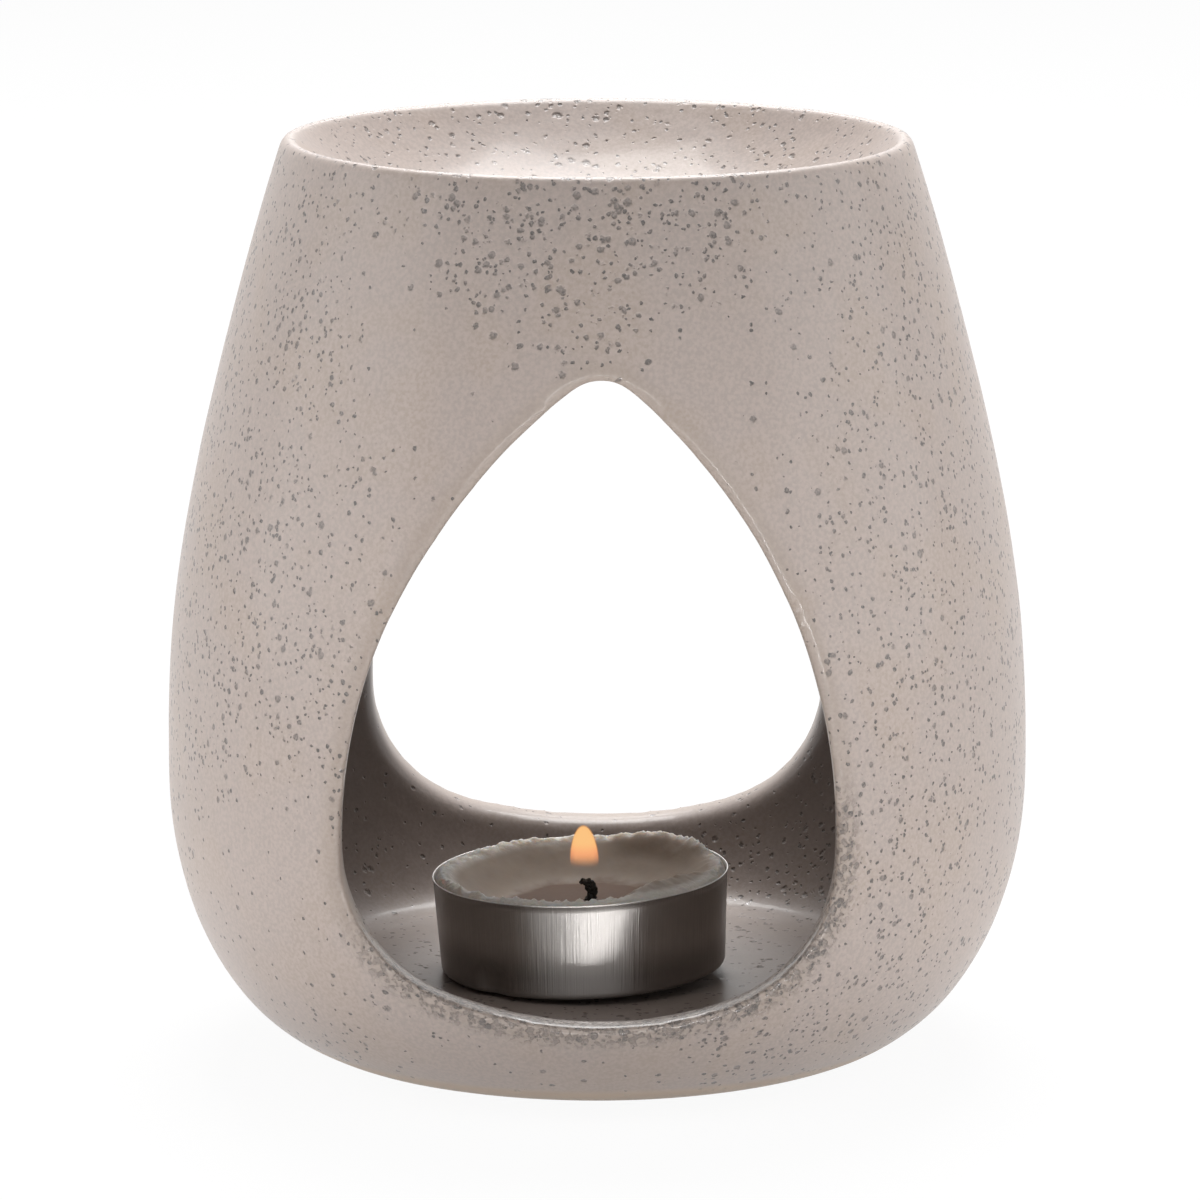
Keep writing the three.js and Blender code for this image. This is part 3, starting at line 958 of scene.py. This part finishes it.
# %% Paraffin
CLOUD = 0.003
FLAKE = 0.0006
MOLTEN_BAND = (0.0112, 0.0088)  # radii between which cooled wax turns to the pool
CRUSTY_BAND = (0.016, 0.0176)
COOLED_DARK = tone(0.4, 0.325, 0.265)
COOLED_PALE = tone(0.5, 0.42, 0.35)
DRY_CRUST = tone(0.92, 0.89, 0.84)
MOLTEN = tone(0.16, 0.095, 0.062)
WAX_RELIEF = 0.0002


def make_paraffin():
    paraffin = Finish("paraffin")
    place = about_cup(paraffin)
    x, y, _ = paraffin.split(place)
    radius = (x * x + y * y).root()
    clouds = paraffin.noise(place, CLOUD, 3.0)
    flakes = paraffin.noise(place, FLAKE, 2.0)
    pool = paraffin.fade(radius + (clouds - 0.5) * CLOUD, *MOLTEN_BAND)
    crusty = paraffin.fade(radius, *CRUSTY_BAND)
    cooled = paraffin.mix(clouds, COOLED_DARK, COOLED_PALE)
    edged = paraffin.mix(crusty * (0.5 + flakes * 0.5), cooled, DRY_CRUST)
    paraffin.surface(Base_Color=paraffin.mix(pool, edged, MOLTEN))
    paraffin.surface(Roughness=0.45 + flakes * 0.1, Specular_IOR_Level=0.05)
    paraffin.surface(Subsurface_Weight=0.75, Subsurface_Radius=(1.0, 0.75, 0.55), Subsurface_Scale=0.0022)
    rough = (flakes * crusty * 0.6 + clouds * 0.3) * (1 - pool)
    paraffin.surface(Normal=paraffin.bump(rough, WAX_RELIEF))
    return paraffin


dress(wax, make_paraffin())

# %% [markdown]
# ## Wick and sustainer
# The wick is a braided cotton cord, burnt to a crumbly black stub that hooks over at the tip. A chain of
# points gets its body from the Skin modifier, which swells a tube round a line, and clouds of displacement
# make it crumble. The little tinplate sustainer that grips it is hidden in the wax, so the measured solid
# stays and only gets its finish.

# %% Wick
WICK_GRAIN = 0.0005
WICK_CRUMBLE = 0.0008
# Places along the wick, from the sustainer up to the hooked tip, each with its radius.
WICK_PATH = [
    (Vector((0, 0, SEAT)), 0.00058),
    (Vector((0.0003, 0, 0.5 * (SEAT + POOL_HEIGHT))), 0.00058),
    (Vector((0.0012, 0, POOL_HEIGHT)), 0.0007),
    (Vector((0.0015, 0, POOL_HEIGHT + 0.0008)), 0.0009),
    (Vector((0.0014, 0, POOL_HEIGHT + 0.0018)), 0.00084),
    (Vector((0.0009, 0, POOL_HEIGHT + 0.0025)), 0.0006),
    (Vector((0.0003, 0, POOL_HEIGHT + 0.0026)), 0.00036),
    (Vector((-0.0002, 0, POOL_HEIGHT + 0.0023)), 0.00024),
]

wick = draw("charred_wick", [point for point, _ in WICK_PATH])
bpy.ops.object.mode_set(mode="OBJECT")
bpy.ops.object.modifier_add(type="SKIN")
for knot, (_, radius) in zip(wick.data.skin_vertices[0].data, WICK_PATH):
    knot.radius = (radius, radius)
bpy.ops.object.modifier_apply(modifier=wick.modifiers[0].name)
modify(wick, "SUBSURF", levels=4, render_levels=4)
uneven(wick, WICK_GRAIN, WICK_CRUMBLE, mid_level=0.5)
set_down(wick)
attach(wick, "candle")
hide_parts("wick")


# %% Charred cotton and tinplate
def make_char():
    char = Finish("charred_cotton")
    place = char.place()
    crumbs = char.noise(place, 0.0003, 3.0)
    char.surface(Base_Color=char.mix(crumbs, tone(0.006, 0.0055, 0.005), tone(0.03, 0.026, 0.022)))
    char.surface(Roughness=0.95 - crumbs * 0.3, Normal=char.bump(crumbs, 0.0001))
    return char


def make_tinplate():
    tinplate = Finish("tinplate")
    place = tinplate.place()
    spangle = tinplate.noise(place, 0.0012, 2.0)
    tinplate.surface(Base_Color=tinplate.mix(spangle, tone(0.42, 0.42, 0.4), tone(0.56, 0.56, 0.54)))
    tinplate.surface(Metallic=1.0, Roughness=spangle * 0.2 + 0.25, Normal=tinplate.bump(spangle, 0.00002))
    return tinplate


dress(wick, make_char())
dress(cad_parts["wick_sustainer"], make_tinplate())

# %% [markdown]
# ## Flame
# A flame has no surface, but nested veils can stand for it: a thin dark fringe, the full body inside it and a
# bright core. Each is a turned bullet shape that glows and lets the light behind it through, fading out at
# its foot.

# %% Flame
FLAME_FOOT = POOL_HEIGHT + 0.0046
FLAME_HEIGHT = 0.0054
FLAME_RADIUS = 0.00195
FLAME_SHIFT = 0.0006  # to the right of the cup's axis
GLOW_START = 0.3  # shares of the flame's height between which its glow changes
GLOW_END = 0.65
# Each veil: width, height, share of the height at which it is full, opacity, and its glow low and high up.
VEILS = {
    "flame_fringe": (1.0, 1.0, 0.55, 0.3, (0.9, 0.32, 0.13), (0.9, 0.4, 0.13)),
    "flame_body": (0.93, 0.97, 0.55, 0.95, (1.0, 0.42, 0.2), (1.0, 0.6, 0.25)),
    "flame_core": (0.7, 0.9, 0.75, 0.95, (1.0, 0.57, 0.24), (1.0, 0.92, 0.6)),
}
VEIL_STEPS = 48
FOOT_STEPS = 6
BULGE = 0.55  # how far along its straight lines a veil's side bulges


def make_veil(name, full_from, opacity, low_glow, high_glow):
    veil = Finish(name)
    z = veil.split(about_cup(veil))[2]
    rise = veil.fade(z, FLAME_FOOT, FLAME_FOOT + full_from * FLAME_HEIGHT)
    heat = veil.fade(z, FLAME_FOOT + GLOW_START * FLAME_HEIGHT, FLAME_FOOT + GLOW_END * FLAME_HEIGHT)
    veil.surface(Base_Color=tone(0, 0, 0), Roughness=1.0, Specular_IOR_Level=0.0, Emission_Strength=1.0)
    veil.surface(Emission_Color=veil.mix(heat, tone(*low_glow), tone(*high_glow)), Alpha=rise * opacity)
    return veil


for name, (width, share, full_from, opacity, low_glow, high_glow) in VEILS.items():
    foot, tip = at(0, FLAME_FOOT), at(0, FLAME_FOOT + share * FLAME_HEIGHT)
    foot_edge = foot + at(width * FLAME_RADIUS, 0)
    side_handle = foot_edge.lerp(foot_edge + tip - foot, BULGE)
    tip_handle = tip.lerp(tip + foot_edge - foot, BULGE)
    side = interpolate_bezier(foot_edge, side_handle, tip_handle, tip, CURVE_STEPS)
    veil = turn(name, line(foot, foot_edge, FOOT_STEPS)[:-1] + side, VEIL_STEPS)
    veil.location.x = FLAME_SHIFT
    only(veil)
    bpy.ops.object.transform_apply(location=True, rotation=True, scale=True)
    set_down(veil)
    dress(veil, make_veil(name, full_from, opacity, low_glow, high_glow))
    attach(veil, "candle")

# %% [markdown]
# ## Floor and light
# The burner stands on a plain white floor under soft light: a broad lamp on each side, one above, a small one
# behind and none from the front, so that the inside stays dark. A weak lamp washes the floor in front, which
# lights the belly from below, and a low card is seen only as the bright patch in the foil. The floor adds a
# share of plain white for the camera and for reflections, which makes it a white background and still leaves
# a soft shadow.

# %% Floor
FLOOR_SIZE = 6
FLOOR_WHITE = 0.94  # share of plain white in what the camera sees of the floor

bpy.ops.object.select_all(action="DESELECT")
bpy.ops.mesh.primitive_plane_add(size=FLOOR_SIZE)
floor = bpy.context.object
floor.name = "floor"

white = Finish("white_floor")
white.surface(Base_Color=tone(0.9, 0.9, 0.9), Roughness=0.9, Specular_IOR_Level=0.0)
rays = white.add("ShaderNodeLightPath", {}, {})
seen = Wire(white, rays.outputs["Is Camera Ray"]).larger(Wire(white, rays.outputs["Is Glossy Ray"]))
seen = seen.larger(Wire(white, rays.outputs["Is Transmission Ray"]))
glow = white.add("ShaderNodeEmission", {}, {"Color": tone(1, 1, 1), "Strength": 1.0})
blend = white.add("ShaderNodeMixShader", {}, {0: seen * FLOOR_WHITE})
white.tree.links.new(white.shader.outputs[0], blend.inputs[1])
white.tree.links.new(glow.outputs[0], blend.inputs[2])
white.tree.links.new(blend.outputs[0], white.tree.nodes["Material Output"].inputs["Surface"])
dress(floor, white)

# %% Lamps and sky
MIDDLE = (0, 0, 0.06)
FLOOR_IN_FRONT = (0, -0.5, 0)
# Each lamp: its place, what it is aimed at, its width and height, and its power in watts.
LAMPS = {
    "left": ((-0.95, -0.16, 0.25), MIDDLE, 0.9, 0.9, 3.65),
    "right": ((0.95, -0.16, 0.25), MIDDLE, 0.9, 0.9, 3.55),
    "above": ((0.03, 0.5, 1.05), MIDDLE, 0.7, 0.7, 17.5),
    "behind": ((-0.02, 1.1, 0.7), MIDDLE, 0.35, 0.35, 1.6),
    "wash": ((0, -0.25, 0.3), FLOOR_IN_FRONT, 0.9, 0.3, 2.0),
    "card": ((0.28, -1.0, 0.012), MIDDLE, 0.9, 0.02, 4.4),
}
SKY = 0.15  # light of the sky on what isn't glossy

for name, (spot, aim, width, height, power) in LAMPS.items():
    lamp_data = bpy.data.lights.new(name, "AREA")
    lamp_data.shape = "RECTANGLE"
    lamp_data.size = width
    lamp_data.size_y = height
    lamp_data.energy = power
    lamp = bpy.data.objects.new(name, lamp_data)
    lamp.location = spot
    lamp.rotation_euler = (Vector(aim) - Vector(spot)).to_track_quat("-Z", "Y").to_euler()
    lamp.visible_camera = False
    lamp.visible_diffuse = name != "card"
    bpy.context.scene.collection.objects.link(lamp)

world = bpy.data.worlds.new("soft_sky")
world.use_nodes = True
sky = world.node_tree.nodes["Background"]
rays = world.node_tree.nodes.new("ShaderNodeLightPath")
for output in ("Is Camera Ray", "Is Glossy Ray", "Is Transmission Ray"):
    larger = world.node_tree.nodes.new("ShaderNodeMath")
    larger.operation = "MAXIMUM"
    larger.inputs[1].default_value = SKY
    if sky.inputs["Strength"].is_linked:
        world.node_tree.links.new(sky.inputs["Strength"].links[0].from_socket, larger.inputs[1])
    world.node_tree.links.new(rays.outputs[output], larger.inputs[0])
    world.node_tree.links.new(larger.outputs[0], sky.inputs["Strength"])
sky.inputs["Color"].default_value = tone(1, 1, 1)
bpy.context.scene.world = world
bpy.context.scene.view_settings.view_transform = "Standard"
print("lamps:", ", ".join(LAMPS))
